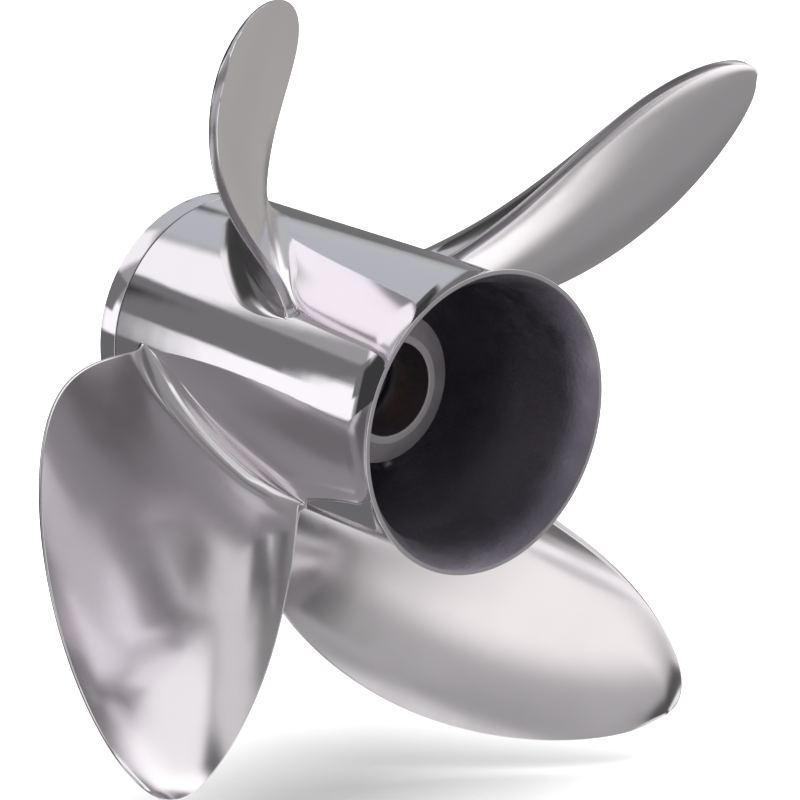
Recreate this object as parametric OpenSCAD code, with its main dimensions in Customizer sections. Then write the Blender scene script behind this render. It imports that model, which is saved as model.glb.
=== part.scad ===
// Four-blade right-hand outboard propeller with through-hub exhaust and a cushioned, splined hub kit.
// Millimetres. The shaft axis is Y: +Y points forward to the gearcase, +Z is up, +X is to starboard.
// The origin is on the shaft axis, at the front face of the drive core.

/* [Propeller] */
// Diameter of the circle that the blade tips sweep
prop_d = 387.35; // [380:0.05:395]
// Radius at which the blade outline starts, just outside the barrel
root_r = 60; // [59:0.5:61]
// Position of the blades' reference plane behind the origin
blade_ref = 47; // [45:0.5:48]
// Angle of the first blade's generator, clockwise from the top as seen from behind
blade_phase = -18.3; // [-30:0.1:60]

/* [Blade outline] */
// Half chord at the root
half_chord_root = 48.3; // [46:0.1:50]
// Gain of half chord over the span
half_chord_gain = 74.3; // [70:0.1:77]
// Loss of half chord towards the tip, growing with the square of the span
half_chord_loss = 13; // [11:0.5:16]
// Further loss of half chord, growing with the cube of the span
half_chord_loss_tip = 25.6; // [22:0.1:28]
// Exponent of the rounding of the tip
tip_round = 1.65; // [1.5:0.01:1.8]
// Shift of the chord's middle towards the trailing edge, at the root
skew_root = 6.8; // [5:0.1:8]
// Linear part of the growth of that shift
skew_linear = 8.4; // [6:0.1:10]
// Square part of the growth of that shift
skew_square = 15; // [12:0.1:18]
// Cube part of the growth of that shift
skew_cube = 35.4; // [32:0.1:38]

/* [Blade pitch and rake] */
// Pitch of the chord line at mid-span
pitch_mid = 644; // [620:1:660]
// Change of pitch over the span
pitch_slope = -125; // [-140:1:-80]
// Loss of pitch towards root and tip
pitch_bow = 248; // [200:1:280]
// Twist of pitch between root and tip
pitch_twist = 918; // [800:1:950]
// Linear rake as a share of the span
rake_linear = 0.31; // [0.28:0.002:0.34]
// Progressive rake as a share of the span
rake_square = 0.176; // [0.15:0.002:0.2]
// Rake gained at the very tip as a share of the span
rake_cube = 0.008; // [0:0.002:0.02]

/* [Blade section] */
// Greatest thickness at the root
thick_root = 12; // [11:0.1:13]
// Greatest thickness at the tip
thick_tip = 3.6; // [3.4:0.1:4.2]
// How fast the blade thins from root to tip
thick_fall = 1.8; // [1.4:0.1:2]
// Thickness of the rounded leading edge
lead_edge = 2.4; // [2:0.1:2.8]
// Thickness of the square-cut trailing edge
trail_edge = 4; // [3.4:0.1:4.2]
// Height of the trailing edge's pressure-side corner above the pitch line
trail_lift = 2.7; // [2.4:0.1:3.2]
// How fast a section thins towards its leading edge
lead_taper = 0.8; // [0.7:0.05:1]
// How fast a section thins towards its trailing edge
trail_taper = 1.1; // [0.8:0.05:1.2]
// Hollow of the pressure face as a share of the chord
face_hollow = 0.012; // [0.008:0.001:0.018]
// Height of the cup on the trailing edge
cup_height = 3; // [2:0.1:4]
// Share of the chord at which the cup starts
cup_start = 0.82; // [0.78:0.01:0.88]
// Radius of the fillet between blade and barrel
fillet_r = 9; // [7:0.5:10]
// Share of that fillet left at the leading and trailing edges
end_fillet = 0.22; // [0.1:0.01:0.6]

/* [Barrel] */
// Outer radius of the barrel
barrel_r = 57.15; // [56.8:0.05:57.5]
// Inner radius of the barrel
barrel_bore_r = 52.8; // [52.4:0.1:53.2]
// Front face of the barrel, forward of the origin
barrel_front = 19.5; // [18:0.5:20]
// End of the barrel's straight part, behind the origin
barrel_aft = 142; // [140:0.5:144]
// Radius of the front collar
collar_r = 56.7; // [56.4:0.05:56.8]
// Width of the front collar
collar_w = 11.6; // [10:0.1:13]
// Width of the groove behind the collar
groove_w = 1.2; // [0.8:0.1:1.5]
// Depth of the groove behind the collar
groove_depth = 1.1; // [0.8:0.1:1.4]
// Chamfer on the collar's front edge
collar_chamfer = 1.5; // [1:0.1:2]

/* [Diffuser ring] */
// Length of the flare
flare_len = 17; // [15:0.5:18]
// Outer radius of the rim
rim_r = 61; // [60:0.1:61.5]
// Wall at the rim
rim_wall = 2; // [1.6:0.1:2.6]

/* [Inner hub] */
// Outer radius of the inner hub round the hub kit
hub_r = 36; // [35.5:0.1:37]
// Front face of the inner hub, forward of the origin
hub_front = 4; // [3:0.5:6]
// Aft face of the inner hub, behind the origin
hub_aft = 102; // [100:0.5:104]
// Outer radius of the inner hub's tail
tail_r = 31.2; // [30.5:0.1:32]
// Length of the inner hub's straight tail
tail_len = 10; // [8:0.5:12]
// Length of the cone between the tail and the full radius
tail_cone_len = 12; // [10:0.5:14]
// Radius of the open bore at the aft end
aft_bore_r = 19.3; // [19.2:0.05:20]
// Outer radius of the machined ring round that bore
aft_ring_r = 22.4; // [21.5:0.1:23.5]
// How far the sloping end outside that ring falls back to the tail's edge
tail_slope = 3.7; // [3:0.1:4.5]
// Radius of the cavity that the hub kit sits in
cavity_r = 30; // [29.5:0.1:30.5]
// Depth of that cavity, behind the origin
cavity_aft = 76; // [75:0.5:77]
// Thickness of each rib between inner hub and barrel
rib_t = 6; // [5:0.5:7]
// Front end of each rib, behind the origin
rib_front = 8; // [6:0.5:12]
// Aft end of each rib, behind the origin
rib_aft = 70; // [66:0.5:74]

/* [Hub kit] */
// Inner radius of the keyed sleeve
sleeve_bore_r = 27.5; // [27.3:0.1:27.8]
// Front end of the sleeve, behind the origin
sleeve_front = 1; // [0.5:0.5:2]
// Width of each key
key_w = 10; // [9:0.5:11]
// Height of each key above the sleeve
key_h = 2.5; // [2:0.1:2.8]
// Outer radius of the drive core
core_r = 19; // [18.8:0.1:19.1]
// Length of the drive core
core_len = 72; // [70:0.5:73]
// Radius of the core's front flange
core_flange_r = 24; // [23:0.5:25]
// Thickness of the core's front flange
core_flange_t = 4; // [3:0.5:5]
// Radius of the plain pilot bore at the core's front
pilot_r = 16.5; // [16.4:0.05:16.6]
// Length of the pilot bore
pilot_len = 12; // [10:0.5:14]
// Radius at the bottom of the spline grooves
spline_major_r = 15.88; // [15.85:0.01:15.9]
// Radius at the tips of the spline teeth
spline_minor_r = 14.6; // [14.4:0.05:14.8]
// Running gap between the cushion and the sleeve
cushion_gap = 0.05; // [0.02:0.01:0.08]
// Outer radius of the thrust washer
washer_r = 26; // [25:0.5:27]
// Thickness of the thrust washer
washer_t = 8; // [7:0.5:9]
// Bore radius of the thrust washer
washer_bore_r = 17; // [16.9:0.05:17.2]
// Radius of the washer's conical seat at its front face
seat_r = 19.5; // [19:0.1:20.5]
// Depth of that conical seat
seat_depth = 4; // [3:0.5:5]
// Outer radius of the rear spacer
spacer_r = 18; // [17.8:0.1:18.6]
// Bore radius of the rear spacer
spacer_bore_r = 16.2; // [16:0.05:16.4]
// Thickness of the rear spacer
spacer_t = 6; // [5:0.5:7]

/* [Hidden] */

$fn = 96;
blade_n = 4;
rib_n = 3;
rib_first = 30;
key_n = 4;
spline_n = 15;
cut = 1;                      // how far a cutting solid runs past the face it cuts
tip_r = prop_d / 2;
span = tip_r - root_r;
flare_steps = 10;
cushion_chamfer = 1.5;

span_steps = 24;              // radial stations between the root and the tip
chord_steps = 14;             // points along each face of a section
tip_stop = 0.998;             // share of the span at which the tip's edge face closes the blade
fillet_steps = 4;
fillet_rise = 5.5;            // how fast the fillet widens from a blade's edges towards its middle
fillet_rise_power = 1.2;      // how softly that widening starts
nose_share = 0.4;             // how far the rounded nose stands out, as a share of lead_edge
foot_h = 0.15;                // height of the fillet's foot above the barrel
root_depth = 2.6;             // how far a blade runs into the barrel before it is trimmed

polished = [0.78, 0.78, 0.80];
cast_grey = [0.42, 0.41, 0.41];
brass_tone = [0.76, 0.62, 0.33];
bronze_tone = [0.66, 0.50, 0.32];
alloy_tone = [0.60, 0.61, 0.63];
rubber_tone = [0.08, 0.08, 0.08];

// ---- Blade shape, as functions of t: 0 at the root radius and 1 at the tip ----

function half_chord(t) =
  let (u = max(t, 0))
  sqrt(1 - pow(u, tip_round))
  * (half_chord_root + half_chord_gain * u - half_chord_loss * u * u - half_chord_loss_tip * u * u * u);
function skew(t) = skew_root + skew_linear * t + skew_square * t * t + skew_cube * t * t * t;
function rake(t) = span * (rake_linear * t + rake_square * t * t + rake_cube * t * t * t);
function pitch(t) =
  let (m = t - 0.5)
  pitch_mid + pitch_slope * m - pitch_bow * m * m + pitch_twist * m * m * m;
function max_thick(t) = thick_tip + (thick_root - thick_tip) * pow(1 - min(t, 1), thick_fall);

// Pressure face of a section at x: 0 at the leading edge and 1 at the trailing edge
function face_at(x, t) =
  let (chord = 2 * half_chord(t), curl = max(0, (x - cup_start) / (1 - cup_start)),
       cup = cup_height * chord / (2 * half_chord(0.5)))
  lead_edge / 2 * (1 - x) + trail_lift * x
  - face_hollow * chord * 4 * x * (1 - x) - cup * (x - curl * curl);
function thick_at(x, t) =
  let (edges = lead_edge + (trail_edge - lead_edge) * x)
  edges + (max_thick(t) - (lead_edge + trail_edge) / 2)
    * pow(4 * x * (1 - x), x < 0.5 ? lead_taper : trail_taper);

// Closed outline of a section: along the pressure face to the leading edge and back on the other side
function section(t) =
  let (h = half_chord(t), lead = skew(t) - h,
       xs = [for (j = [0:chord_steps]) (1 - cos(180 * j / chord_steps)) / 2])
  concat(
    [for (j = [chord_steps:-1:0]) [lead + 2 * h * xs[j], face_at(xs[j], t)]],
    [[lead - lead_edge * nose_share, 0]],
    [for (j = [0:chord_steps]) [lead + 2 * h * xs[j], face_at(xs[j], t) - thick_at(xs[j], t)]]
  );
ring_n = 2 * chord_steps + 3;

// Share of the full fillet at x: small at a section's two ends, and whole before its middle
function end_share(x) =
  end_fillet + (1 - end_fillet) * pow(min(1, fillet_rise * x * (1 - x)), fillet_rise_power);

// A section's outline grown outwards by g, and by less towards its two ends
function grown(pts, g) =
  let (first = min([for (p = pts) p[0]]), last = max([for (p = pts) p[0]]))
  [
    for (j = [0:len(pts) - 1])
      let (a = pts[(j + len(pts) - 1) % len(pts)], b = pts[(j + 1) % len(pts)], d = b - a,
           share = end_share((pts[j][0] - first) / (last - first)))
      pts[j] + g * share * [d[1], -d[0]] / norm(d)
  ];

// Width of the fillet at height d above the barrel
function fillet_at(d) =
  let (k = fillet_r - min(max(d, 0), fillet_r))
  fillet_r - sqrt(fillet_r * fillet_r - k * k);

// Stations: inside the barrel's wall, up the fillet, then closer and closer towards the tip
function station_r() = concat(
  [barrel_r - root_depth],
  [for (i = [0:fillet_steps]) barrel_r + foot_h + (fillet_r - foot_h) * pow(i / fillet_steps, 2)],
  [
    for (i = [1:span_steps])
      let (u = i / span_steps, start = barrel_r + fillet_r, stop = root_r + span * tip_stop)
      start + (stop - start) * (1 - pow(1 - u, 2))
  ]
);

// A point of a section (s along the chord towards the trailing edge, n towards the pressure side)
function on_blade(r, t, p, turn) =
  let (phi = atan(pitch(t) / (2 * PI * r)),
       aft = rake(t) + p[0] * sin(phi) + p[1] * cos(phi),
       ang = blade_phase + turn - (p[0] * cos(phi) - p[1] * sin(phi)) / r * 180 / PI)
  [r * sin(ang), -blade_ref - aft, r * cos(ang)];

function blade_ring(r, turn) =
  let (t = (r - root_r) / span, foot = max(r, barrel_r + foot_h))
  [for (p = grown(section(t), fillet_at(foot - barrel_r))) on_blade(r, t, p, turn)];

// Triangles that close a ring, from its first point and its last inwards to the leading edge
function cap(base, flip) = [
  for (j = [0:chord_steps])
    let (a = base + j, b = base + j + 1, c = base + ring_n - 1 - j, d = base + ring_n - 2 - j)
    each (b == d ? [flip ? [a, b, c] : [c, b, a]]
      : flip ? [[a, b, c], [b, d, c]] : [[c, b, a], [c, d, b]])
];

// ---- Solids of revolution about the shaft: points are [radius, distance forward] ----

module turned(pts) rotate([-90, 0, 0]) rotate_extrude() polygon([for (p = pts) [p[0], p[1]]]);
module shaft_cylinder(r, from, to)
  translate([0, from, 0]) rotate([-90, 0, 0]) cylinder(r = r, h = to - from);
// Puts its child, drawn at the top of the shaft, at an angle clockwise as seen from behind
module at_angle(ang) rotate([0, ang, 0]) children();

// ---- Casting ----

module barrel() color(polished)
  difference() {
    union() {
      shaft_cylinder(barrel_r, -barrel_aft, barrel_front - collar_w - groove_w);
      shaft_cylinder(barrel_r - groove_depth, barrel_front - collar_w - groove_w, barrel_front - collar_w);
      shaft_cylinder(collar_r, barrel_front - collar_w, barrel_front - collar_chamfer);
      turned([
        [0, barrel_front - collar_chamfer],
        [collar_r, barrel_front - collar_chamfer],
        [collar_r - collar_chamfer, barrel_front],
        [0, barrel_front]
      ]);
    }
    shaft_cylinder(barrel_bore_r, -barrel_aft - cut, barrel_front + cut);
  }

module diffuser_ring() color(polished)
  turned(concat(
    [for (i = [0:flare_steps])
      let (u = i / flare_steps) [barrel_r + (rim_r - barrel_r) * u * u, -barrel_aft - flare_len * u]],
    [for (i = [flare_steps:-1:0])
      let (u = i / flare_steps)
      [barrel_bore_r + (rim_r - rim_wall - barrel_bore_r) * u * u, -barrel_aft - flare_len * u]]
  ));

// The round outline with its keys that the sleeve and the cavity share
module keyed_outline() {
  circle(r = cavity_r);
  for (i = [0:key_n - 1])
    rotate(45 + i * 360 / key_n) translate([-key_w / 2, 0]) square([key_w, cavity_r + key_h]);
}
module keyed_solid(from, to)
  translate([0, from, 0]) rotate([-90, 0, 0]) linear_extrude(to - from) keyed_outline();

module inner_hub() color(cast_grey)
  difference() {
    turned([
      [0, hub_front],
      [hub_r, hub_front],
      [hub_r, -hub_aft + tail_len + tail_cone_len],
      [tail_r, -hub_aft + tail_len],
      [tail_r, -hub_aft + tail_slope],
      [aft_ring_r, -hub_aft],
      [0, -hub_aft]
    ]);
    keyed_solid(-cavity_aft, hub_front + cut);
    shaft_cylinder(aft_bore_r, -hub_aft - cut, -cavity_aft + cut);
  }

module rib(i) color(cast_grey)
  at_angle(rib_first + i * 360 / rib_n)
    intersection() {
      difference() {
        shaft_cylinder(barrel_bore_r, -rib_aft - cut, -rib_front + cut);
        shaft_cylinder(hub_r, -rib_aft - 2 * cut, -rib_front + 2 * cut);
      }
      linear_extrude(barrel_r)
        union() {
          translate([-rib_t / 2, -rib_aft + rib_t / 2]) square([rib_t, rib_aft - rib_front - rib_t]);
          translate([0, -rib_aft + rib_t / 2]) circle(d = rib_t);
          translate([0, -rib_front - rib_t / 2]) circle(d = rib_t);
        }
    }

module blade(i)
  color(polished)
    difference() {
      rings = station_r();
      last = len(rings) - 1;
      polyhedron(
        points = [for (r = rings) each blade_ring(r, i * 360 / blade_n)],
        faces = concat(
          cap(0, true),
          [
            for (k = [0:last - 1], j = [0:ring_n - 1])
              let (a = k * ring_n + j, b = k * ring_n + (j + 1) % ring_n)
              each [[a, a + ring_n, b], [b, a + ring_n, b + ring_n]]
          ],
          cap(last * ring_n, false)
        ),
        convexity = 4
      );
      shaft_cylinder(barrel_r, -barrel_aft, barrel_front);
    }

// ---- Hub kit ----

module bushing_sleeve() color(alloy_tone)
  difference() {
    keyed_solid(-cavity_aft, -sleeve_front);
    shaft_cylinder(sleeve_bore_r, -cavity_aft - cut, -sleeve_front + cut);
  }

module rubber_cushion() color(rubber_tone)
  turned([
    [core_r, -core_flange_t],
    [sleeve_bore_r - cushion_gap - cushion_chamfer, -core_flange_t],
    [sleeve_bore_r - cushion_gap, -core_flange_t - cushion_chamfer],
    [sleeve_bore_r - cushion_gap, -core_len + cushion_chamfer],
    [sleeve_bore_r - cushion_gap - cushion_chamfer, -core_len],
    [core_r, -core_len]
  ]);

module drive_core() color(brass_tone)
  difference() {
    union() {
      shaft_cylinder(core_r, -core_len, 0);
      shaft_cylinder(core_flange_r, -core_flange_t, 0);
    }
    shaft_cylinder(pilot_r, -pilot_len, cut);
    shaft_cylinder(spline_minor_r, -core_len - cut, -pilot_len + cut);
    intersection() {
      shaft_cylinder(spline_major_r, -core_len - cut, -pilot_len + cut);
      for (i = [0:spline_n - 1])
        at_angle(i * 360 / spline_n) spline_groove();
    }
  }

// One groove between two spline teeth, with sloping flanks
module spline_groove()
  let (w = PI * spline_major_r / spline_n, lean = (spline_major_r - spline_minor_r) / 2)
  translate([0, -core_len - cut, 0]) rotate([-90, 0, 0])
    linear_extrude(core_len - pilot_len + 2 * cut)
      polygon([
        [-w / 2 + lean, -spline_major_r - cut],
        [w / 2 - lean, -spline_major_r - cut],
        [w / 2, -spline_minor_r + cut],
        [-w / 2, -spline_minor_r + cut]
      ]);

module thrust_washer() color(bronze_tone)
  turned([
    [washer_bore_r, 0],
    [washer_r, 0],
    [washer_r, washer_t],
    [seat_r, washer_t],
    [washer_bore_r, washer_t - seat_depth]
  ]);

module rear_spacer() color(alloy_tone)
  difference() {
    shaft_cylinder(spacer_r, -core_len - spacer_t, -core_len);
    shaft_cylinder(spacer_bore_r, -core_len - spacer_t - cut, -core_len + cut);
  }

barrel();
diffuser_ring();
inner_hub();
rib(0);  // rib_1
rib(1);  // rib_2
rib(2);  // rib_3
blade(0);  // blade_1
blade(1);  // blade_2
blade(2);  // blade_3
blade(3);  // blade_4
bushing_sleeve();
rubber_cushion();
drive_core();
thrust_washer();
rear_spacer();
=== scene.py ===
"""Looks of a four-blade stainless outboard propeller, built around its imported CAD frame.

Lengths are in metres, in the frame of the CAD: the shaft axis is Y, +Y is forward and +Z is up.
"""
import math

import bmesh
import bpy
from mathutils import Matrix, Vector


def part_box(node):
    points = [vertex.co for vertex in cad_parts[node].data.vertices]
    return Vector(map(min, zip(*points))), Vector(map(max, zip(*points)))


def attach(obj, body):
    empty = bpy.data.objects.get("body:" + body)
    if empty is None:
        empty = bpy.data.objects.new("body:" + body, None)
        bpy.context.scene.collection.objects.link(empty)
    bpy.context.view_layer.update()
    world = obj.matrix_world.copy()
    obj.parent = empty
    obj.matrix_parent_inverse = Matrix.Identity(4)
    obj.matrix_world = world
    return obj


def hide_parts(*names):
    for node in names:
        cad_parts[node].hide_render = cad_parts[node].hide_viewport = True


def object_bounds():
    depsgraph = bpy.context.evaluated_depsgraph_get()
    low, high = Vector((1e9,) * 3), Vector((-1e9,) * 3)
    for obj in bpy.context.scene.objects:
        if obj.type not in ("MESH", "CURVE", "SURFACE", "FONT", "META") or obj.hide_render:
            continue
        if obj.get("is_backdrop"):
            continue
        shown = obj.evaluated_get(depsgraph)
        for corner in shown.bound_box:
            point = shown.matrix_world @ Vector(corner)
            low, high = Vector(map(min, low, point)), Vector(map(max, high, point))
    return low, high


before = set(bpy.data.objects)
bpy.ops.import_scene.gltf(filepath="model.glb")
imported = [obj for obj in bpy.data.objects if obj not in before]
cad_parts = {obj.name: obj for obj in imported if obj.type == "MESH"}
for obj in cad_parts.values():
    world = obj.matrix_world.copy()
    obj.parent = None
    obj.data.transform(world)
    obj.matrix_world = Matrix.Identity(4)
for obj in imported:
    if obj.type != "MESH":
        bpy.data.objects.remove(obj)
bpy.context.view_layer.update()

MM = 0.001
CASTING = "propeller"
CORE = "hub_core"

# ---------------------------------------------------------------- sizes taken from the frame


def reach(node):
    """How far a node reaches from the shaft, along +X."""
    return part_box(node)[1][0]


def front_of(node):
    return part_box(node)[1][1]


def aft_of(node):
    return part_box(node)[0][1]


BARREL_R = reach("barrel")
BARREL_FRONT = front_of("barrel")
BARREL_AFT = aft_of("barrel")
RIM_R = reach("diffuser_ring")
RIM_AFT = aft_of("diffuser_ring")
HUB_R = reach("inner_hub")
HUB_FRONT = front_of("inner_hub")
HUB_AFT = aft_of("inner_hub")
KIT_AFT = aft_of("bushing_sleeve")
SLEEVE_FRONT = front_of("bushing_sleeve")
CUSHION_R = reach("rubber_cushion")
CUSHION_FRONT = front_of("rubber_cushion")
CORE_AFT = aft_of("drive_core")
FLANGE_R = reach("drive_core")
WASHER_R = reach("thrust_washer")
WASHER_FRONT = front_of("thrust_washer")
SPACER_R = reach("rear_spacer")
SPACER_AFT = aft_of("rear_spacer")

# Sizes that no node's box shows, the same as in the CAD
BARREL_BORE_R = 52.8 * MM
COLLAR_R = 56.7 * MM
COLLAR_W = 11.6 * MM
GROOVE_W = 1.2 * MM
GROOVE_R = BARREL_R - 1.1 * MM
COLLAR_CHAMFER = 1.5 * MM
RIM_WALL = 2.0 * MM
TAIL_R = 31.2 * MM
TAIL_LEN = 10 * MM
TAIL_CONE_LEN = 12 * MM
TAIL_SLOPE = 3.7 * MM
AFT_RING_R = 22.4 * MM
AFT_BORE_R = 19.3 * MM
CAVITY_R = 30 * MM
SLEEVE_BORE_R = 27.5 * MM
KEY_HALF = 5 * MM
KEY_TOP = 32.5 * MM
CORE_R = 19 * MM
FLANGE_T = 4 * MM
PILOT_R = 16.5 * MM
PILOT_LEN = 12 * MM
SPLINE_MAJOR = 15.88 * MM
SPLINE_MINOR = 14.6 * MM
SPLINE_TEETH = 15
WASHER_BORE_R = 17 * MM
SEAT_R = 19.5 * MM
SEAT_DEPTH = 4 * MM
SPACER_BORE_R = 16.2 * MM
RIB_FRONT = front_of("rib_1")
RIB_AFT = aft_of("rib_1")
RIB_T = 6 * MM
RIB_FIRST = math.radians(30)

AROUND = 288                  # segments round the shaft
KIT_AROUND = 192              # and round it for the small parts of the hub kit
SMOOTH_DEG = 35               # edges sharper than this stay sharp
CAST_SMOOTH_DEG = 50          # and on the blades and ribs
ARC = 5                       # segments of a rounded corner
CORNER_POINTS = ARC + 1
FLAT_CORNER = math.radians(12)
CUT_MOST = 0.45               # largest share of a side that one rounded corner takes
SMALL = 0.6 * MM              # chamfer of the keyed and splined edges


# ---------------------------------------------------------------- mesh helpers


def make_object(name, verts, faces, smooth_deg=SMOOTH_DEG):
    """A smooth-shaded object, with sharp edges where its faces turn by more than smooth_deg."""
    mesh = bpy.data.meshes.new(name)
    mesh.from_pydata(verts, [], faces)
    mesh.validate()
    bm = bmesh.new()
    bm.from_mesh(mesh)
    bmesh.ops.recalc_face_normals(bm, faces=bm.faces)
    limit = math.radians(smooth_deg)
    for face in bm.faces:
        face.smooth = True
    for edge in bm.edges:
        if len(edge.link_faces) == 2 and edge.calc_face_angle(0) > limit:
            edge.smooth = False
    bm.to_mesh(mesh)
    bm.free()
    obj = bpy.data.objects.new(name, mesh)
    bpy.context.scene.collection.objects.link(obj)
    return obj


def woven(rings, count):
    """Quads that join rings of count corners each, one to the next and the last to the first."""
    faces = []
    for k in range(rings):
        a, b = k * count, ((k + 1) % rings) * count
        for j in range(count):
            i = (j + 1) % count
            faces.append((a + j, a + i, b + i, b + j))
    return faces


def lathe(name, outline, steps=AROUND):
    """Turns a closed outline of (radius, y) points about the shaft."""
    verts = []
    for k in range(steps):
        angle = 2 * math.pi * k / steps
        verts += [(r * math.sin(angle), y, r * math.cos(angle)) for r, y in outline]
    return make_object(name, verts, woven(steps, len(outline)))


def ringed(name, rings):
    """Joins closed rings, each a list of (angle, radius) and a y, into one closed skin."""
    verts = []
    for corners, y in rings:
        verts += [(r * math.sin(a), y, r * math.cos(a)) for a, r in corners]
    return make_object(name, verts, woven(len(rings), len(rings[0][0])))


def tube(rows, count):
    """Quads that join rows of count corners each, open at both ends."""
    faces = []
    for k in range(rows - 1):
        for j in range(count):
            a, b = k * count + j, k * count + (j + 1) % count
            faces.append((a, b, b + count, a + count))
    return faces


def ladder(base, count, up, down):
    """Closes a ring of count corners with rungs from corners up, up + 1... to down, down - 1..."""
    faces = []
    for j in range(count // 2):
        corners = [base + k % count for k in (up + j, up + j + 1, down - j - 1, down - j)]
        faces.append(tuple(dict.fromkeys(corners)))
    return faces


def rounded(outline, radius):
    """Rounds the corners of a closed outline, as an edge broken by hand would be."""
    points = []
    count = len(outline)
    for k in range(count):
        before, here, after = (Vector(outline[(k + d) % count]) for d in (-1, 0, 1))
        back, ahead = before - here, after - here
        turn = back.angle(ahead, math.pi)
        if math.pi - turn < FLAT_CORNER:
            points.append(tuple(here))
            continue
        most = CUT_MOST * min(back.length, ahead.length)
        cut = min(radius / math.tan(turn / 2), most)
        start = here + back.normalized() * cut
        end = here + ahead.normalized() * cut
        for j in range(CORNER_POINTS):
            u = j / ARC
            points.append(tuple(start * (1 - u) ** 2 + here * 2 * u * (1 - u) + end * u * u))
    return points


def finish_piece(obj, body, slot, materials, *nodes):
    """Gives a piece its materials and its body, and hides the CAD nodes that it stands for; slot is not
    used.
    """
    for material in materials:
        obj.data.materials.append(material)
    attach(obj, body)
    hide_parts(*nodes)


# ---------------------------------------------------------------- materials


class Shader:
    """A Principled material with short calls for the node chains used below."""

    def __init__(self, name, metallic, roughness, color):
        self.mat = bpy.data.materials.new(name)
        self.mat.use_nodes = True
        self.tree = self.mat.node_tree
        self.bsdf = self.tree.nodes["Principled BSDF"]
        self.bsdf.inputs["Metallic"].default_value = metallic
        self.bsdf.inputs["Roughness"].default_value = roughness
        self.bsdf.inputs["Base Color"].default_value = (*color, 1)
        self.coords = self.tree.nodes.new("ShaderNodeTexCoord").outputs["Object"]

    def stretched(self, scale):
        node = self.tree.nodes.new("ShaderNodeMapping")
        node.inputs["Scale"].default_value = scale
        self.tree.links.new(self.coords, node.inputs["Vector"])
        return node.outputs["Vector"]

    def noise(self, scale, detail=4, rough=0.55, stretch=None):
        node = self.tree.nodes.new("ShaderNodeTexNoise")
        node.inputs["Scale"].default_value = scale
        node.inputs["Detail"].default_value = detail
        node.inputs["Roughness"].default_value = rough
        source = self.stretched(stretch) if stretch else self.coords
        self.tree.links.new(source, node.inputs["Vector"])
        return node.outputs["Fac"]

    def ramp(self, value, low, high, out_low, out_high):
        node = self.tree.nodes.new("ShaderNodeMapRange")
        node.interpolation_type = "SMOOTHSTEP"
        for socket, number in zip(node.inputs[1:5], (low, high, out_low, out_high)):
            socket.default_value = number
        self.tree.links.new(value, node.inputs["Value"])
        return node.outputs["Result"]

    def blend(self, factor, color_a, color_b):
        node = self.tree.nodes.new("ShaderNodeMix")
        node.data_type = "RGBA"
        self.tree.links.new(factor, node.inputs["Factor"])
        node.inputs[6].default_value = (*color_a, 1)
        node.inputs[7].default_value = (*color_b, 1)
        return node.outputs[2]

    def bump(self, height, strength, distance, under=None):
        node = self.tree.nodes.new("ShaderNodeBump")
        node.inputs["Strength"].default_value = strength
        node.inputs["Distance"].default_value = distance
        self.tree.links.new(height, node.inputs["Height"])
        if under:
            self.tree.links.new(under, node.inputs["Normal"])
        return node.outputs["Normal"]

    def set(self, socket, value):
        self.tree.links.new(value, self.bsdf.inputs[socket])


def polished_steel():
    """Mirror-polished barrel: faint hand-polishing waves and fine scuffs."""
    s = Shader("polished_stainless", 1.0, 0.06, (0.80, 0.77, 0.81))
    s.set("Roughness", s.ramp(s.noise(60, 6), 0.35, 0.75, 0.04, 0.08))
    s.set("Base Color", s.blend(s.noise(18, 3), (0.78, 0.75, 0.79), (0.83, 0.80, 0.84)))
    waves = s.bump(s.noise(26, 2), 0.20, 0.0006)
    s.set("Normal", s.bump(s.noise(900, 3, stretch=(1, 0.08, 1)), 0.03, 0.0002, waves))
    return s.mat


def satin_steel():
    """Blade faces: polished along the span to a satin that blurs what it reflects."""
    s = Shader("satin_stainless", 1.0, 0.15, (0.79, 0.755, 0.785))
    s.set("Roughness", s.ramp(s.noise(35, 5), 0.3, 0.75, 0.12, 0.18))
    s.set("Base Color", s.blend(s.noise(14, 3), (0.77, 0.735, 0.765), (0.82, 0.785, 0.81)))
    waves = s.bump(s.noise(20, 2), 0.18, 0.0006)
    s.set("Normal", s.bump(s.noise(1400, 2, stretch=(0.05, 1, 1)), 0.02, 0.0002, waves))
    return s.mat


def ground_edge_painted_shade():
    """The square-cut trailing edge: left as ground, with its scratches along the edge; its base colour is
    darkened as painted shade, for the dark part of the studio that the edge mirrors.
    """
    s = Shader("ground_edge_painted_shade", 1.0, 0.3, (0.46, 0.44, 0.47))
    s.set("Roughness", s.ramp(s.noise(50, 5), 0.3, 0.75, 0.22, 0.36))
    # painted shade: these darker tones stand for the dark part of the studio that the edge reflects
    s.set("Base Color", s.blend(s.noise(25, 4), (0.38, 0.36, 0.39), (0.54, 0.52, 0.55)))
    s.set("Normal", s.bump(s.noise(1800, 2, stretch=(1, 1, 0.08)), 0.08, 0.0002))
    return s.mat


def cast_steel():
    """Inside of the casting: unpolished, darkened by its heat treatment, grainy from the shell mould."""
    s = Shader("as_cast_stainless", 0.8, 0.5, (0.33, 0.30, 0.36))
    patches = s.ramp(s.noise(30, 4), 0.35, 0.7, 0, 1)
    s.set("Base Color", s.blend(patches, (0.30, 0.272, 0.332), (0.37, 0.342, 0.395)))
    s.set("Roughness", s.ramp(s.noise(90, 4), 0.3, 0.7, 0.42, 0.58))
    grain = s.bump(s.noise(700, 5), 0.35, 0.0004)
    s.set("Normal", s.bump(s.noise(60, 3), 0.25, 0.0012, grain))
    return s.mat


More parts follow.
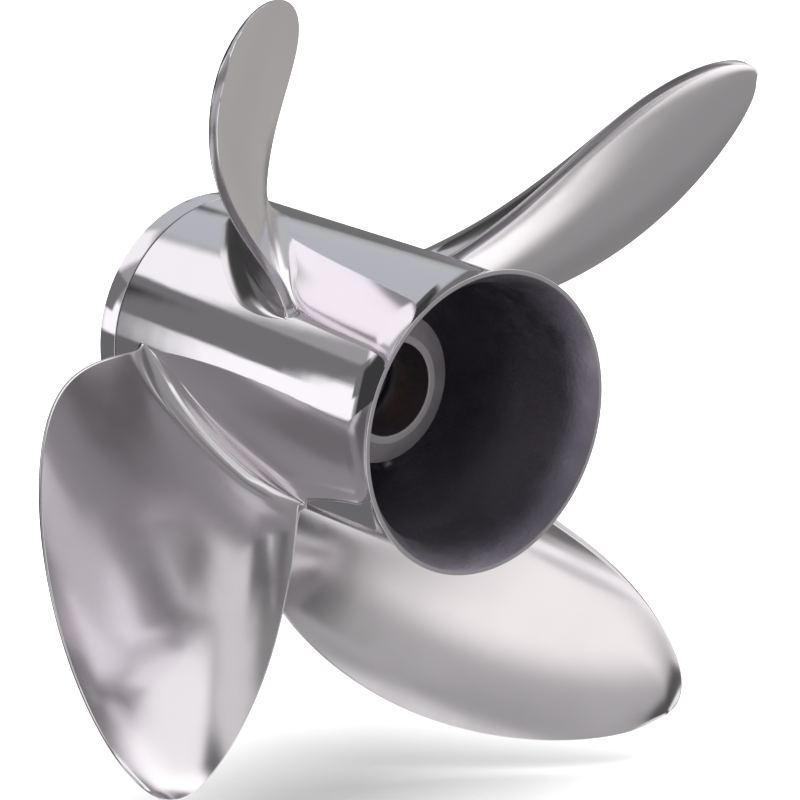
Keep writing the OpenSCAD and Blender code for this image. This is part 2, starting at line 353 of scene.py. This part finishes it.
def turned_metal(name, dark, light, rough_low, rough_high, metallic=1.0):
    """A machined face: fine lathe lines round the shaft and a slightly uneven tone."""
    s = Shader(name, metallic, (rough_low + rough_high) / 2, light)
    s.set("Base Color", s.blend(s.ramp(s.noise(40, 4), 0.3, 0.7, 0, 1), dark, light))
    s.set("Roughness", s.ramp(s.noise(120, 4), 0.3, 0.7, rough_low, rough_high))
    s.set("Normal", s.bump(s.noise(2200, 2, stretch=(0.2, 1, 0.2)), 0.12, 0.0002))
    return s.mat


def moulded_rubber():
    s = Shader("cushion_rubber", 0.0, 0.6, (0.02, 0.02, 0.021))
    s.set("Base Color", s.blend(s.noise(60, 4), (0.014, 0.014, 0.015), (0.032, 0.031, 0.031)))
    s.set("Roughness", s.ramp(s.noise(150, 4), 0.3, 0.7, 0.5, 0.7))
    s.set("Normal", s.bump(s.noise(900, 4), 0.2, 0.0003))
    return s.mat


POLISHED = polished_steel()
SATIN = satin_steel()
# trailing-edge steel, its darker base colour painted shade
SHADED_EDGE = ground_edge_painted_shade()
CAST = cast_steel()
BRASS = turned_metal("core_brass", (0.60, 0.45, 0.20), (0.76, 0.60, 0.32), 0.25, 0.4)
BRONZE = turned_metal("washer_bronze", (0.50, 0.34, 0.19), (0.66, 0.48, 0.30), 0.28, 0.42)
ALLOY = turned_metal("sleeve_alloy", (0.46, 0.47, 0.49), (0.60, 0.61, 0.63), 0.32, 0.5)
SPACER = turned_metal("spacer_steel", (0.50, 0.50, 0.51), (0.64, 0.64, 0.65), 0.25, 0.4)
MACHINED = turned_metal("machined_hub_end", (0.74, 0.71, 0.72), (0.82, 0.79, 0.80), 0.3, 0.42, 0.4)
TAIL = turned_metal("ground_hub_tail", (0.64, 0.61, 0.62), (0.78, 0.75, 0.76), 0.4, 0.55, 0.5)
RUBBER = moulded_rubber()


# ---------------------------------------------------------------- blades

BLADES = 4
TIP_R = 193.675 * MM
ROOT_R = 60 * MM
SPAN = TIP_R - ROOT_R
BLADE_REF = -47 * MM          # y of a blade's reference line where it leaves the barrel
BLADE_PHASE = math.radians(-18.3)
FILLET_R = 9 * MM
LEAD_EDGE = 2.4 * MM          # thickness of the leading edge
TRAIL_EDGE = 4.0 * MM         # and of the square-cut trailing edge
TRAIL_LIFT = 2.7 * MM         # how far the pressure face stands above the pitch line there
LEAD_TAPER = 0.8              # how fast a section thins towards its leading edge
TRAIL_TAPER = 1.1             # and towards its trailing edge
CUP_START = 0.82              # where the cup starts, as a share of the chord
CUP_HEIGHT = 3 * MM
FACE_HOLLOW = 0.012           # depth of the pressure face's hollow, as a share of the chord
END_FILLET = 0.22             # share of the root fillet left at the leading and trailing edges
FILLET_RISE = 5.5             # how fast the fillet widens from those edges towards the middle
FILLET_RISE_POWER = 1.2       # and how softly that starts
NOSE = 0.6                    # how far the rounded leading edge stands out, as a share of LEAD_EDGE
CORNER = 0.5 * MM             # rounding of the trailing edge's two corners
CORNER_SIDE = 0.3             # where that rounding's middle point lies, as a share of CORNER
CORNER_MOST = 0.2             # largest share of the chord that the rounding takes
TIP_ROUNDING = 1.5 * MM       # how far in from the tip its edge rounds over
TIP_LEFT = 0.25               # share of the thickness left at the very tip
ROOT_DEPTH = 1.2 * MM         # how far a blade runs into the barrel's wall
CHORD_STEPS = 60
NOSE_STEPS = 8
FILLET_STEPS = 12
SPAN_STEPS = 120
TIP_STOP = 0.99995            # share of the span at which the tip's edge face closes the blade

# The shape of a blade, with t 0 at ROOT_R and 1 at the tip

def half_chord(t):
    u = max(t, 0)
    return math.sqrt(1 - u ** 1.65) * (48.3 + 74.3 * u - 13 * u * u - 25.6 * u ** 3) * MM


def skew(t):
    return (6.8 + 8.4 * t + 15 * t * t + 35.4 * t ** 3) * MM


def rake(t):
    return SPAN * (0.31 * t + 0.176 * t * t + 0.008 * t ** 3)


def pitch(t):
    m = t - 0.5
    return (644 - 125 * m - 248 * m * m + 918 * m ** 3) * MM


def max_thick(t):
    return (3.6 + 8.4 * (1 - min(t, 1)) ** 1.8) * MM


def face_at(x, chord, cup):
    """Height of the pressure face above the pitch line: x is 0 at the leading edge, 1 at the trailing."""
    curl = max(0, (x - CUP_START) / (1 - CUP_START))
    ends = LEAD_EDGE / 2 * (1 - x) + TRAIL_LIFT * x
    return ends - FACE_HOLLOW * chord * 4 * x * (1 - x) - cup * (x - curl * curl)


def thick_at(x, t):
    edges = LEAD_EDGE + (TRAIL_EDGE - LEAD_EDGE) * x
    taper = LEAD_TAPER if x < 0.5 else TRAIL_TAPER
    return edges + (max_thick(t) - (LEAD_EDGE + TRAIL_EDGE) / 2) * max(4 * x * (1 - x), 0) ** taper


def section(t):
    """Closed outline of a section as (along the chord, towards the pressure side)."""
    half = half_chord(t)
    chord = 2 * half
    lead = skew(t) - half
    cup = CUP_HEIGHT * half / half_chord(0.5)
    corner = min(CORNER, chord * CORNER_MOST)
    stop = 1 - corner / chord
    xs = [stop * (1 - math.cos(math.pi * j / CHORD_STEPS)) / 2 for j in range(CHORD_STEPS + 1)]
    trail = lead + chord
    top, low = face_at(1, chord, cup), face_at(1, chord, cup) - TRAIL_EDGE
    side = corner * CORNER_SIDE
    points = [(trail, top - corner), (trail - side, top - side)]
    points += [(lead + chord * x, face_at(x, chord, cup)) for x in reversed(xs)]
    for j in range(1, NOSE_STEPS):
        angle = math.pi * j / NOSE_STEPS
        nose = LEAD_EDGE * NOSE * math.sin(angle)
        points.append((lead - nose, LEAD_EDGE / 2 * math.cos(angle)))
    points += [(lead + chord * x, face_at(x, chord, cup) - thick_at(x, t)) for x in xs]
    points += [(trail - side, low + side), (trail, low + corner)]
    return points


def grown(points, amount):
    """The outline moved outwards by amount, and by less towards its two ends."""
    if amount <= 0:
        return points
    count = len(points)
    first, last = min(s for s, _ in points), max(s for s, _ in points)
    result = []
    for j, (s, n) in enumerate(points):
        before, after = points[j - 1], points[(j + 1) % count]
        ds, dn = after[0] - before[0], after[1] - before[1]
        length = math.hypot(ds, dn)
        x = (s - first) / (last - first)
        rise = min(1, FILLET_RISE * x * (1 - x)) ** FILLET_RISE_POWER
        here = amount * (END_FILLET + (1 - END_FILLET) * rise)
        result.append((s + here * dn / length, n - here * ds / length))
    return result


def stations():
    """(radius, how much the fillet adds there), from inside the barrel's wall out to the tip."""
    result = [(BARREL_R - ROOT_DEPTH, FILLET_R)]
    for j in range(FILLET_STEPS + 1):
        angle = math.pi / 2 * j / FILLET_STEPS
        result.append((BARREL_R + FILLET_R * (1 - math.cos(angle)), FILLET_R * (1 - math.sin(angle))))
    start, stop = BARREL_R + FILLET_R, ROOT_R + SPAN * TIP_STOP
    for j in range(1, SPAN_STEPS + 1):
        u = j / SPAN_STEPS
        result.append((start + (stop - start) * (1 - (1 - u) ** 2), 0))
    return result


def on_blade(r, t, s, n, turn):
    phi = math.atan(pitch(t) / (2 * math.pi * r))
    aft = rake(t) + s * math.sin(phi) + n * math.cos(phi)
    angle = BLADE_PHASE + turn - (s * math.cos(phi) - n * math.sin(phi)) / r
    return (r * math.sin(angle), BLADE_REF - aft, r * math.cos(angle))


def blade(index):
    """One blade; its flat trailing edge takes the second material, steel with its base colour darkened as
    painted shade.
    """
    verts, count = [], 0
    turn = index * 2 * math.pi / BLADES
    rows = stations()
    for r, extra in rows:
        t = (r - ROOT_R) / SPAN
        outline = grown(section(t), extra)
        from_tip = (TIP_R - r) / TIP_ROUNDING
        if from_tip < 1:
            squeeze = TIP_LEFT + (1 - TIP_LEFT) * math.sqrt(max(0, 1 - (1 - from_tip) ** 2))
            middle = sum(n for _, n in outline) / len(outline)
            outline = [(s, middle + (n - middle) * squeeze) for s, n in outline]
        count = len(outline)
        verts += [on_blade(r, t, s, n, turn) for s, n in outline]
    faces = tube(len(rows), count)
    for base in (0, (len(rows) - 1) * count):
        faces += ladder(base, count, 0, count - 1)
    obj = make_object(f"blade_shell_{index + 1}", verts, faces, CAST_SMOOTH_DEG)
    finish_piece(obj, CASTING, "satin_stainless", (SATIN, SHADED_EDGE), f"blade_{index + 1}")
    # the faces of the flat trailing edge get the steel darkened as painted shade
    for face in obj.data.polygons:
        on_edge = {corner % count for corner in face.vertices} == {0, count - 1}
        face.material_index = 1 if on_edge else 0


for number in range(BLADES):
    blade(number)


# ---------------------------------------------------------------- barrel and flared lip

collar_aft = BARREL_FRONT - COLLAR_W
groove_aft = collar_aft - GROOVE_W
FRONT_EDGE = 0.35 * MM
aft_face = [(BARREL_BORE_R, BARREL_AFT), (BARREL_R, BARREL_AFT)]      # stays sharp against the lip
barrel_outline = aft_face + rounded([
    (BARREL_R, BARREL_AFT),
    (BARREL_R, groove_aft),
    (GROOVE_R, groove_aft),
    (GROOVE_R, collar_aft),
    (COLLAR_R, collar_aft),
    (COLLAR_R, BARREL_FRONT - COLLAR_CHAMFER),
    (COLLAR_R - COLLAR_CHAMFER, BARREL_FRONT),
    (BARREL_BORE_R, BARREL_FRONT),
    (BARREL_BORE_R, BARREL_AFT),
], FRONT_EDGE)[CORNER_POINTS:-CORNER_POINTS]
barrel = lathe("barrel_shell", barrel_outline)
finish_piece(barrel, CASTING, "polished_stainless", (POLISHED, CAST), "barrel")

FLARE_STEPS = 40
RIM_ROUND = 0.5 * MM


def flare(radius_from, radius_to):
    """(radius, y) along one side of the lip, from the barrel to the rim."""
    points = []
    length = BARREL_AFT - RIM_AFT
    for j in range(FLARE_STEPS + 1):
        u = j / FLARE_STEPS
        points.append((radius_from + (radius_to - radius_from) * u * u, BARREL_AFT - length * u))
    return points


outer = flare(BARREL_R, RIM_R)
inner = flare(BARREL_BORE_R, RIM_R - RIM_WALL)[::-1]
rim = rounded([outer[-3], (RIM_R, RIM_AFT), (RIM_R - RIM_WALL, RIM_AFT), inner[2]], RIM_ROUND)
lip = lathe("diffuser_shell", outer[:-2] + rim[CORNER_POINTS:-CORNER_POINTS] + inner[2:])
finish_piece(lip, CASTING, "polished_stainless", (POLISHED, CAST), "diffuser_ring")

# The bore and the bottom of the collar's groove aren't polished
POLISHED_TO = RIM_R - RIM_WALL * 0.9
GROOVE_BELOW = BARREL_R - 0.2 * MM

for shell in (barrel, lip):
    for face in shell.data.polygons:
        middle = face.center
        outward = face.normal.x * middle.x + face.normal.z * middle.z
        radius = math.hypot(middle.x, middle.z)
        bore = outward < 0 and radius < POLISHED_TO
        groove = groove_aft < middle.y < collar_aft and radius < GROOVE_BELOW
        if bore or groove:
            face.material_index = 1


# ---------------------------------------------------------------- inner hub and its ribs

KEY_BASE = math.asin(KEY_HALF / CAVITY_R)
KEY_CORNER = math.atan(KEY_HALF / KEY_TOP)
ARC_STEPS = 44


def key_angles():
    """Angles round the shaft that catch the corners of the four keys."""
    angles = []
    for quarter in range(4):
        middle = math.pi / 4 + quarter * math.pi / 2
        angles += [middle + k * KEY_CORNER / 3 for k in range(-3, 4)]
        start, stop = middle + KEY_BASE, middle + math.pi / 2 - KEY_BASE
        angles += [start + (stop - start) * k / ARC_STEPS for k in range(ARC_STEPS + 1)]
    return angles


ANGLES = key_angles()


def round_ring(radius, y):
    return [(a, radius) for a in ANGLES], y


def keyed_ring(y, grow=0.0):
    """The round cavity with its four keyways at one y, made larger all round by grow."""
    ring = []
    for a in ANGLES:
        off = (a % (math.pi / 2)) - math.pi / 4
        radius = KEY_TOP / math.cos(off) if abs(off) < (KEY_BASE + KEY_CORNER) / 2 else CAVITY_R
        ring.append((a, radius + grow))
    return ring, y


HUB_EDGE = 0.5 * MM
hub_profile = rounded([
    (HUB_R, HUB_FRONT),
    (HUB_R, HUB_AFT + TAIL_LEN + TAIL_CONE_LEN),
    (TAIL_R, HUB_AFT + TAIL_LEN),
    (TAIL_R, HUB_AFT + TAIL_SLOPE),
    (AFT_RING_R, HUB_AFT),
    (AFT_BORE_R, HUB_AFT),
    (AFT_BORE_R, KIT_AFT),
    (CAVITY_R, KIT_AFT),
    (CAVITY_R, HUB_FRONT),
], HUB_EDGE)
# The last two corners, of the round cavity, give way to rings with the keyways in them
hub_rings = [round_ring(r, y) for r, y in hub_profile[:-2 * CORNER_POINTS]]
hub_rings += [keyed_ring(KIT_AFT), keyed_ring(HUB_FRONT - SMALL), keyed_ring(HUB_FRONT, SMALL)]
inner_hub = ringed("inner_hub_shell", hub_rings)
finish_piece(inner_hub, CASTING, "as_cast_stainless", (CAST, MACHINED, TAIL), "inner_hub")
# At its aft end, the ring round the bore is machined and the slope outside it is ground
for face in inner_hub.data.polygons:
    middle = face.center
    radius = math.hypot(middle.x, middle.z)
    if middle.y < HUB_AFT + MM and radius < AFT_RING_R + 0.3 * MM:
        face.material_index = 1
    elif middle.y < HUB_AFT + TAIL_SLOPE + MM and radius > AFT_RING_R:
        face.material_index = 2

RIBS = 3
RIB_FILLET = 3 * MM
RIB_SINK = 0.6 * MM           # how far a rib runs into the hub and the barrel
RIB_ROWS = 30
RIB_END_STEPS = 16
RIB_SIDE_STEPS = 24


def rib(index):
    """A cast web with round ends, filleted into the inner hub and the barrel."""
    start, stop = HUB_R - RIB_SINK, BARREL_BORE_R + RIB_SINK
    turn = RIB_FIRST + index * 2 * math.pi / RIBS
    half_len = (RIB_FRONT - RIB_AFT) / 2 - RIB_T / 2
    middle_y = (RIB_FRONT + RIB_AFT) / 2
    verts, count = [], 0
    for row in range(RIB_ROWS + 1):
        u = row / RIB_ROWS
        radius = start + (stop - start) * (1 - math.cos(math.pi * u)) / 2
        near = min(max(radius - HUB_R, 0), max(BARREL_BORE_R - radius, 0), RIB_FILLET)
        extra = RIB_FILLET - math.sqrt(RIB_FILLET ** 2 - (RIB_FILLET - near) ** 2)
        half = RIB_T / 2 + extra
        outline = []
        for end in (1, -1):
            arc = [math.pi * k / RIB_END_STEPS for k in range(RIB_END_STEPS + 1)]
            outline += [(end * half * math.cos(v), end * (half_len + half * math.sin(v))) for v in arc]
            side = [half_len * (1 - 2 * k / RIB_SIDE_STEPS) for k in range(1, RIB_SIDE_STEPS)]
            outline += [(-end * half, end * along) for along in side]
        count = len(outline)
        for across, along in outline:
            angle = turn + math.asin(across / radius)
            verts.append((radius * math.sin(angle), middle_y + along, radius * math.cos(angle)))
    faces = tube(RIB_ROWS + 1, count)
    for base in (0, RIB_ROWS * count):
        faces += ladder(base, count, RIB_END_STEPS // 2, RIB_END_STEPS // 2)
    obj = make_object(f"rib_web_{index + 1}", verts, faces, CAST_SMOOTH_DEG)
    finish_piece(obj, CASTING, "as_cast_stainless", (CAST,), f"rib_{index + 1}")


for number in range(RIBS):
    rib(number)


# ---------------------------------------------------------------- hub kit

sleeve = ringed("bushing_sleeve_shell", [
    keyed_ring(SLEEVE_FRONT, -SMALL), keyed_ring(SLEEVE_FRONT - SMALL), keyed_ring(KIT_AFT),
    round_ring(SLEEVE_BORE_R, KIT_AFT), round_ring(SLEEVE_BORE_R, SLEEVE_FRONT - SMALL),
    round_ring(SLEEVE_BORE_R + SMALL, SLEEVE_FRONT),
])
finish_piece(sleeve, CASTING, "sleeve_alloy", (ALLOY,), "bushing_sleeve")

CUSHION_CHAMFER = 1.5 * MM
cushion = lathe("cushion_ring", rounded([
    (CORE_R, CUSHION_FRONT),
    (CUSHION_R - CUSHION_CHAMFER, CUSHION_FRONT),
    (CUSHION_R, CUSHION_FRONT - CUSHION_CHAMFER),
    (CUSHION_R, CORE_AFT + CUSHION_CHAMFER),
    (CUSHION_R - CUSHION_CHAMFER, CORE_AFT),
    (CORE_R, CORE_AFT),
], SMALL), KIT_AROUND)
finish_piece(cushion, CORE, "cushion_rubber", (RUBBER,), "rubber_cushion")


def tooth_angles():
    """(angle, whether it lies in a groove) for every corner of the splined bore."""
    lean = (SPLINE_MAJOR - SPLINE_MINOR) / 2
    width = math.pi * SPLINE_MAJOR / SPLINE_TEETH
    bottom = (width / 2 - lean) / SPLINE_MAJOR
    top = width / 2 / SPLINE_MINOR
    pitch_angle = 2 * math.pi / SPLINE_TEETH
    corners = []
    for tooth in range(SPLINE_TEETH):
        middle = tooth * pitch_angle
        corners.append((middle - top, 0))
        corners += [(middle + bottom * k / 3, 1) for k in (-3, -1, 1, 3)]
        corners.append((middle + top, 0))
        corners += [(middle + top + (pitch_angle - 2 * top) * k / 4, 0) for k in (1, 2, 3)]
    return corners


TEETH = tooth_angles()


def plain(radius, y):
    return [(a, radius) for a, _ in TEETH], y


def toothed(y, grow=0.0):
    return [(a, max(SPLINE_MAJOR if deep else SPLINE_MINOR, SPLINE_MINOR + grow)) for a, deep in TEETH], y


core = ringed("drive_core_shell", [
    plain(PILOT_R + SMALL, 0), plain(FLANGE_R - SMALL, 0), plain(FLANGE_R, -SMALL),
    plain(FLANGE_R, SMALL - FLANGE_T), plain(FLANGE_R - SMALL, -FLANGE_T), plain(CORE_R, -FLANGE_T),
    plain(CORE_R, CORE_AFT + SMALL), plain(CORE_R - SMALL, CORE_AFT),
    toothed(CORE_AFT, SMALL), toothed(CORE_AFT + SMALL),
    toothed(-PILOT_LEN - SMALL), toothed(-PILOT_LEN, SMALL),
    plain(PILOT_R, -PILOT_LEN), plain(PILOT_R, -SMALL),
])
finish_piece(core, CORE, "core_brass", (BRASS,), "drive_core")

washer = lathe("thrust_washer_ring", rounded([
    (WASHER_BORE_R, 0),
    (WASHER_R, 0),
    (WASHER_R, WASHER_FRONT),
    (SEAT_R, WASHER_FRONT),
    (WASHER_BORE_R, WASHER_FRONT - SEAT_DEPTH),
], SMALL), KIT_AROUND)
finish_piece(washer, CORE, "washer_bronze", (BRONZE,), "thrust_washer")

spacer = lathe("rear_spacer_ring", rounded([
    (SPACER_BORE_R, SPACER_AFT),
    (SPACER_R, SPACER_AFT),
    (SPACER_R, CORE_AFT),
    (SPACER_BORE_R, CORE_AFT),
], HUB_EDGE), KIT_AROUND)
finish_piece(spacer, CORE, "spacer_steel", (SPACER,), "rear_spacer")


# ---------------------------------------------------------------- floor, light and camera

FLOOR_LIGHT = 5.5
FLOOR_HALF = 4.0
FLOOR_GAP = 13 * MM           # the blade tips come this much lower when the cushion is twisted


def floor():
    """Pale paper under the part. The metal doesn't mirror it: the sky's panels stand for the room."""
    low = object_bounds()[0][2] - FLOOR_GAP
    half = FLOOR_HALF
    verts = [(-half, -half, low), (half, -half, low), (half, half, low), (-half, half, low)]
    obj = make_object("floor", verts, [(0, 1, 2, 3)])
    s = Shader("floor_paper", 0.0, 0.9, (0.86, 0.86, 0.86))
    s.set("Base Color", s.blend(s.noise(3, 2), (0.85, 0.85, 0.85), (0.87, 0.87, 0.87)))
    obj.data.materials.append(s.mat)
    obj.visible_glossy = False
    obj.visible_diffuse = False
    obj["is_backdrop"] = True
    return obj


def direction(azimuth, elevation):
    """Unit vector towards a place on the sky: azimuth 0 is behind the propeller, 90 is to starboard."""
    a, e = math.radians(azimuth), math.radians(elevation)
    return Vector((math.sin(a) * math.cos(e), -math.cos(a) * math.cos(e), math.sin(e)))


def floor_sun(receiver):
    """A wide soft light that falls on the floor only and keeps it pale round the part's soft shadow."""
    light = bpy.data.lights.new("floor_light", "SUN")
    light.energy = FLOOR_LIGHT
    light.angle = math.radians(70)
    obj = bpy.data.objects.new("floor_light", light)
    bpy.context.scene.collection.objects.link(obj)
    only = bpy.data.collections.new("floor_only")
    only.objects.link(receiver)
    obj.light_linking.receiver_collection = only


WIDEST = 88                   # degrees from its middle that a panel's edge may reach


class Sky:
    """The studio as the metal sees it: a plain room with soft panels painted over it in order."""

    def __init__(self, levels):
        world = bpy.data.worlds.new("studio")
        world.use_nodes = True
        self.tree = world.node_tree
        self.direction = self.tree.nodes.new("ShaderNodeTexCoord").outputs["Generated"]
        split = self.tree.nodes.new("ShaderNodeSeparateXYZ")
        self.tree.links.new(self.direction, split.inputs[0])
        ramp = self.tree.nodes.new("ShaderNodeValToRGB")
        place = self.tree.nodes.new("ShaderNodeMapRange")
        place.inputs[1].default_value = -1
        self.tree.links.new(split.outputs["Z"], place.inputs[0])
        self.tree.links.new(place.outputs[0], ramp.inputs[0])
        elements = ramp.color_ramp.elements
        while len(elements) < len(levels):
            elements.new(0.5)
        for element, (elevation, color) in zip(elements, levels):
            element.position = (math.sin(math.radians(elevation)) + 1) / 2
            element.color = (*color, 1)
        self.color = ramp.outputs[0]
        bpy.context.scene.world = world

    def math(self, operation, a, b=None):
        node = self.tree.nodes.new("ShaderNodeMath")
        node.operation = operation
        for socket, value in zip(node.inputs, (a, b)):
            if isinstance(value, (int, float)):
                socket.default_value = value
            elif value is not None:
                self.tree.links.new(value, socket)
        return node.outputs[0]

    def along(self, axis):
        node = self.tree.nodes.new("ShaderNodeVectorMath")
        node.operation = "DOT_PRODUCT"
        node.inputs[1].default_value = axis
        self.tree.links.new(self.direction, node.inputs[0])
        return node.outputs["Value"]

    def edge(self, value, half, soft):
        """1 within half (degrees) of the middle, falling to 0 over soft degrees outside it."""
        node = self.tree.nodes.new("ShaderNodeMapRange")
        node.interpolation_type = "SMOOTHSTEP"
        node.inputs[1].default_value = math.tan(math.radians(min(half + soft, WIDEST)))
        node.inputs[2].default_value = math.tan(math.radians(half))
        self.tree.links.new(self.math("ABSOLUTE", value), node.inputs[0])
        return node.outputs[0]

    def panel(self, azimuth, elevation, half_width, half_height, soft, color, roll=0):
        """Paints one soft-edged rectangle: half sizes and edge width in degrees, roll clockwise."""
        facing = direction(azimuth, elevation)
        across = Vector((0, 0, 1)).cross(facing).normalized()
        upward = facing.cross(across)
        turn = math.radians(roll)
        across, upward = (across * math.cos(turn) + upward * math.sin(turn),
                          upward * math.cos(turn) - across * math.sin(turn))
        depth = self.along(facing)
        mask = self.math("GREATER_THAN", depth, 0.01)
        for axis, half in ((across, half_width), (upward, half_height)):
            slope = self.math("DIVIDE", self.along(axis), depth)
            mask = self.math("MULTIPLY", mask, self.edge(slope, half, soft))
        node = self.tree.nodes.new("ShaderNodeMix")
        node.data_type = "RGBA"
        self.tree.links.new(mask, node.inputs["Factor"])
        self.tree.links.new(self.color, node.inputs[6])
        node.inputs[7].default_value = (*color, 1)
        self.color = node.outputs[2]

    def done(self):
        """The background itself looks plain white to the camera."""
        path = self.tree.nodes.new("ShaderNodeLightPath")
        node = self.tree.nodes.new("ShaderNodeMix")
        node.data_type = "RGBA"
        self.tree.links.new(path.outputs["Is Camera Ray"], node.inputs["Factor"])
        self.tree.links.new(self.color, node.inputs[6])
        node.inputs[7].default_value = (1, 1, 1, 1)
        self.tree.links.new(node.outputs[2], self.tree.nodes["Background"].inputs["Color"])


def grey(level, tint=0.0):
    """A neutral level, a little blue for a positive tint and a little warm for a negative one."""
    return level * (1 - tint), level, level * (1 + tint)


CAMERA_AZIMUTH = -38.75
CAMERA_ELEVATION = 16.81
CAMERA_DISTANCE = 1.444
LENS = 158.6                  # millimetres on a 36 mm sensor
AIM_RIGHT = 38.6 * MM
AIM_UP = -17.1 * MM


def camera():
    data = bpy.data.cameras.new("camera")
    data.lens = LENS
    data.sensor_width = 36
    data.clip_start = 0.05
    obj = bpy.data.objects.new("camera", data)
    back = direction(CAMERA_AZIMUTH, CAMERA_ELEVATION)
    right = Vector((0, 0, 1)).cross(back).normalized()
    up = back.cross(right)
    middle = Vector((0, BLADE_REF, 0))
    place = middle + back * CAMERA_DISTANCE
    aim = middle + right * AIM_RIGHT + up * AIM_UP
    back = (place - aim).normalized()
    right = up.cross(back).normalized()
    up = back.cross(right)
    turn = Matrix((right, up, back)).transposed().to_4x4()
    obj.matrix_world = Matrix.Translation(place) @ turn
    bpy.context.scene.collection.objects.link(obj)
    bpy.context.scene.camera = obj


FLOOR = floor()
sky = Sky(((-90, grey(0.27)), (-20, grey(0.30)), (0, grey(0.35)), (40, grey(0.40)), (90, grey(0.28))))
sky.panel(62, 38, 26, 12, 12, grey(1.05))                # main soft box, to starboard
sky.panel(96, 32, 17, 26, 6, grey(1.4))                  # its brighter end
sky.panel(14, 66, 9, 8, 5, grey(0.75))                   # its spill on the ceiling
sky.panel(52, 59, 4, 3.5, 2.5, grey(0.1))                # bracket that it hangs from
sky.panel(-48, -18, 14, 36, 6, grey(0.50))               # table behind
sky.panel(-36, -39, 6, 25, 18, grey(1.1, -0.02))         # its lit middle
sky.panel(-54, -54, 8, 5, 5, grey(0.7))                  # its port end
sky.panel(-24, 26, 5, 5, 2, grey(0.9))                   # small reflector beside the camera
sky.panel(-88, -12, 23, 50, 5, grey(1.15))               # white card on the port side
sky.panel(-84, 14, 8, 28, 6, grey(0.74))                 # shade across it
sky.panel(-90, -28, 4, 12, 5, grey(0.5))                 # fold down its far side
sky.panel(-66, 48, 5, 9, 5, grey(0.36))                  # its top
sky.panel(-94, 45, 11, 14, 3, grey(0.34))                # unlit wall above it
sky.panel(-32, 55, 15, 5, 5, grey(0.22))                 # boom over the camera
sky.panel(-40, 84, 10, 7, 5, grey(0.15))                 # dark ceiling overhead
sky.panel(-56, 4, 7, 20, 1.5, grey(0.08), -28)           # gap between card and table
sky.panel(-96, -53, 12, 10, 5, grey(0.15))               # shade under the card
sky.panel(90, -60, 12, 9, 8, grey(0.34))                 # table to starboard
sky.panel(137, -43, 14, 12, 14, grey(1.25, -0.01))       # its lit end
sky.panel(128, -16, 14, 14, 5, grey(0.40, -0.03))        # its shaded far side
sky.panel(150, -8, 12, 16, 4, grey(0.18))                # gap between table and wall
sky.panel(150, 32, 20, 14, 10, grey(0.57, 0.04))         # wall ahead
sky.panel(166, 18, 12, 6, 4, grey(0.09))                 # dark shelf on it
sky.panel(-164, 32, 8, 7, 6, grey(1.1))                  # second soft box, ahead and above
sky.panel(-135, 1, 8, 8, 5, grey(1.2))                   # bright strip along the horizon
sky.panel(-148, 14, 7, 8, 2, grey(0.20))                 # dark post that crosses its end
sky.panel(-160, -34, 38, 26, 2, grey(0.16))              # dark table ahead, to port
sky.panel(-138, -57, 20, 9, 5, grey(1.3))                # its lit near edge
sky.panel(-112, -71, 11, 6, 4, grey(0.18))               # shade below that edge
sky.panel(-178, 6, 25, 12, 4, grey(0.05))                # dark gap straight ahead
sky.done()
floor_sun(FLOOR)
camera()
bpy.context.scene.view_settings.view_transform = "Standard"
